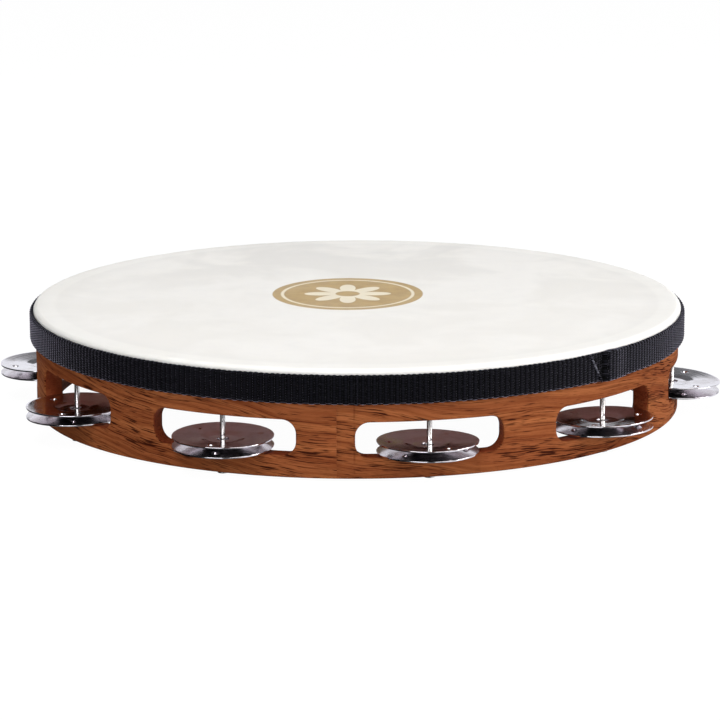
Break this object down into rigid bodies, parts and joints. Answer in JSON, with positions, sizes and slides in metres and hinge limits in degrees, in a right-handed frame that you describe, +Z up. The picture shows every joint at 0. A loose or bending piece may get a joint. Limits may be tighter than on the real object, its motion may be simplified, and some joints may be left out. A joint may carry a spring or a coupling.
{
  "type": "tambourine",
  "caption": "Round headed tambourine: a bent-wood hoop with pairs of loose metal jingles on nails in its slots, a white skin head and a black webbing edge.",
  "frame": {"origin": "on the hoop's centre line, in the plane of the pin heads' undersides, which is what the tambourine rests on", "axes": "+Z up along the hoop's centre line, out through the drum head; -Y towards the front, where the viewer stands; +X to the viewer's right"},
  "size_m": [0.2837, 0.2762, 0.0417],
  "materials": {
    "shell_wood": "reddish-brown stain under gloss varnish",
    "head_skin": "smooth matt skin, mottled off-white",
    "webbing_black": "ribbed woven synthetic tape with a slight sheen",
    "pin_steel": "bright drawn wire",
    "jingle_metal": "polished nickel plate on pressed steel"
  },
  "bodies": {
    "frame": {"shell": "shell_wood", "drum_head": "head_skin", "edge_webbing": "webbing_black", "jingle_pin_1": "pin_steel", "jingle_pin_2": "pin_steel", "jingle_pin_3": "pin_steel", "jingle_pin_4": "pin_steel", "jingle_pin_5": "pin_steel", "jingle_pin_6": "pin_steel", "jingle_pin_7": "pin_steel", "jingle_pin_8": "pin_steel", "jingle_pin_9": "pin_steel"},
    "lower_disc_1": {"jingle_lower_1": "jingle_metal"},
    "upper_disc_1": {"jingle_upper_1": "jingle_metal"},
    "lower_disc_2": {"jingle_lower_2": "jingle_metal"},
    "upper_disc_2": {"jingle_upper_2": "jingle_metal"},
    "lower_disc_3": {"jingle_lower_3": "jingle_metal"},
    "upper_disc_3": {"jingle_upper_3": "jingle_metal"},
    "lower_disc_4": {"jingle_lower_4": "jingle_metal"},
    "upper_disc_4": {"jingle_upper_4": "jingle_metal"},
    "lower_disc_5": {"jingle_lower_5": "jingle_metal"},
    "upper_disc_5": {"jingle_upper_5": "jingle_metal"},
    "lower_disc_6": {"jingle_lower_6": "jingle_metal"},
    "upper_disc_6": {"jingle_upper_6": "jingle_metal"},
    "lower_disc_7": {"jingle_lower_7": "jingle_metal"},
    "upper_disc_7": {"jingle_upper_7": "jingle_metal"},
    "lower_disc_8": {"jingle_lower_8": "jingle_metal"},
    "upper_disc_8": {"jingle_upper_8": "jingle_metal"},
    "lower_disc_9": {"jingle_lower_9": "jingle_metal"},
    "upper_disc_9": {"jingle_upper_9": "jingle_metal"}
  },
  "joints": [
    {"name": "lower_slide_1", "type": "slide", "parent": "frame", "child": "lower_disc_1", "axis": [0, 0, 1], "range_m": [-0.0002, 0.0038]},
    {"name": "upper_slide_1", "type": "slide", "parent": "lower_disc_1", "child": "upper_disc_1", "axis": [0, 0, 1], "range_m": [-0.0002, 0.0038]},
    {"name": "lower_slide_2", "type": "slide", "parent": "frame", "child": "lower_disc_2", "axis": [0, 0, 1], "range_m": [-0.0002, 0.0038]},
    {"name": "upper_slide_2", "type": "slide", "parent": "lower_disc_2", "child": "upper_disc_2", "axis": [0, 0, 1], "range_m": [-0.0002, 0.0038]},
    {"name": "lower_slide_3", "type": "slide", "parent": "frame", "child": "lower_disc_3", "axis": [0, 0, 1], "range_m": [-0.0002, 0.0038]},
    {"name": "upper_slide_3", "type": "slide", "parent": "lower_disc_3", "child": "upper_disc_3", "axis": [0, 0, 1], "range_m": [-0.0002, 0.0038]},
    {"name": "lower_slide_4", "type": "slide", "parent": "frame", "child": "lower_disc_4", "axis": [0, 0, 1], "range_m": [-0.0002, 0.0038]},
    {"name": "upper_slide_4", "type": "slide", "parent": "lower_disc_4", "child": "upper_disc_4", "axis": [0, 0, 1], "range_m": [-0.0002, 0.0038]},
    {"name": "lower_slide_5", "type": "slide", "parent": "frame", "child": "lower_disc_5", "axis": [0, 0, 1], "range_m": [-0.0002, 0.0038]},
    {"name": "upper_slide_5", "type": "slide", "parent": "lower_disc_5", "child": "upper_disc_5", "axis": [0, 0, 1], "range_m": [-0.0002, 0.0038]},
    {"name": "lower_slide_6", "type": "slide", "parent": "frame", "child": "lower_disc_6", "axis": [0, 0, 1], "range_m": [-0.0002, 0.0038]},
    {"name": "upper_slide_6", "type": "slide", "parent": "lower_disc_6", "child": "upper_disc_6", "axis": [0, 0, 1], "range_m": [-0.0002, 0.0038]},
    {"name": "lower_slide_7", "type": "slide", "parent": "frame", "child": "lower_disc_7", "axis": [0, 0, 1], "range_m": [-0.0002, 0.0038]},
    {"name": "upper_slide_7", "type": "slide", "parent": "lower_disc_7", "child": "upper_disc_7", "axis": [0, 0, 1], "range_m": [-0.0002, 0.0038]},
    {"name": "lower_slide_8", "type": "slide", "parent": "frame", "child": "lower_disc_8", "axis": [0, 0, 1], "range_m": [-0.0002, 0.0038]},
    {"name": "upper_slide_8", "type": "slide", "parent": "lower_disc_8", "child": "upper_disc_8", "axis": [0, 0, 1], "range_m": [-0.0002, 0.0038]},
    {"name": "lower_slide_9", "type": "slide", "parent": "frame", "child": "lower_disc_9", "axis": [0, 0, 1], "range_m": [-0.0002, 0.0038]},
    {"name": "upper_slide_9", "type": "slide", "parent": "lower_disc_9", "child": "upper_disc_9", "axis": [0, 0, 1], "range_m": [-0.0002, 0.0038]}
  ]
}
